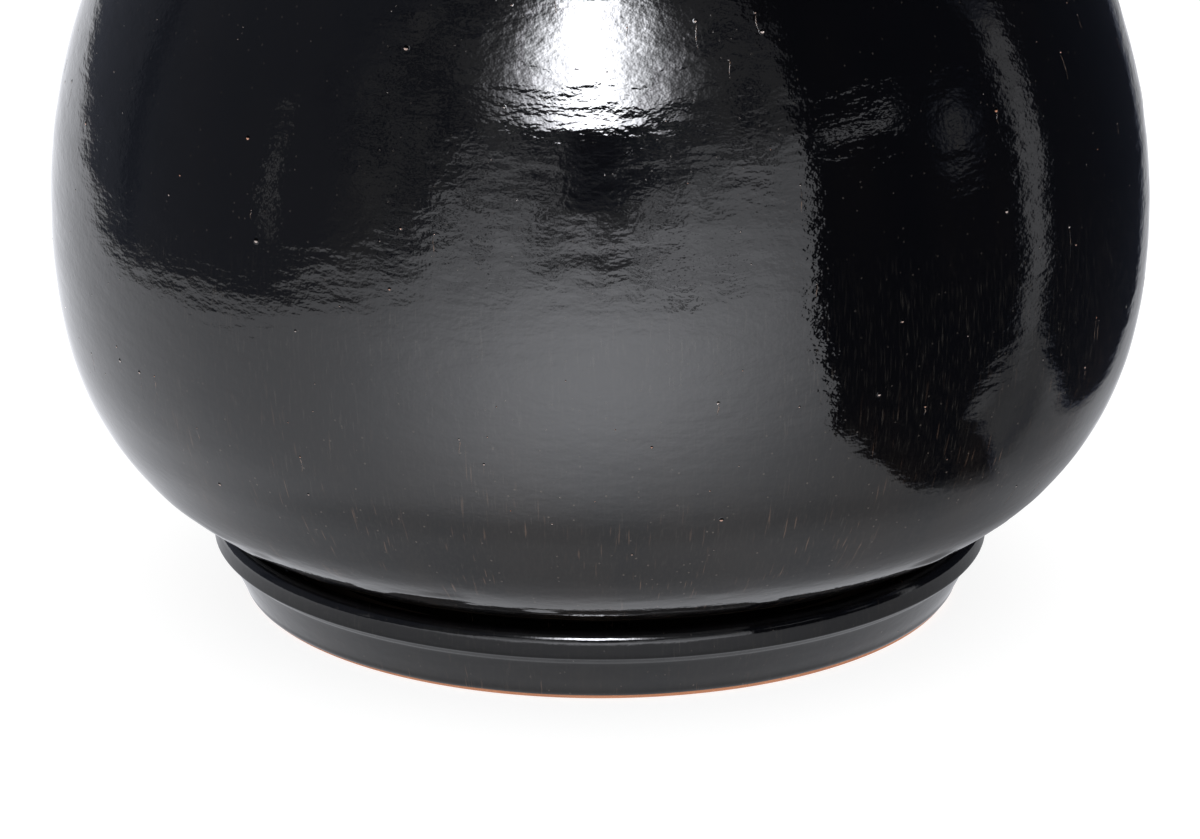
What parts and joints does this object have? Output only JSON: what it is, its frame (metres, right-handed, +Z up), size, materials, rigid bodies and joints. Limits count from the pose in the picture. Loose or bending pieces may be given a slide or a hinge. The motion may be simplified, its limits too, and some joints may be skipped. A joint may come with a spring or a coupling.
{
  "type": "plant pot",
  "caption": "Round-bellied black-glazed clay plant pot with a rolled rim, a drain hole and a notched foot ring, standing in a shallow glazed saucer that it lifts out of.",
  "frame": {"origin": "on the standing plane, at the centre of the saucer's foot ring", "axes": "+Z up along the common turning axis of pot and saucer; +X and +Y each run through a drain notch of the pot's foot ring; -Y is the side seen from the front"},
  "size_m": [0.508, 0.508, 0.3851],
  "materials": {
    "fired_clay": "matt bare orange-brown fired clay",
    "black_glaze": "high-gloss black glaze with an orange-peel surface and pinholes"
  },
  "bodies": {
    "saucer": {"saucer_clay_body": "fired_clay", "saucer_glaze_coat": "black_glaze"},
    "pot": {"pot_clay_body": "fired_clay", "pot_glaze_coat": "black_glaze"}
  },
  "joints": [
    {"name": "pot_lift", "type": "slide", "parent": "saucer", "child": "pot", "axis": [0, 0, 1], "range_m": [0, 0.1]}
  ]
}
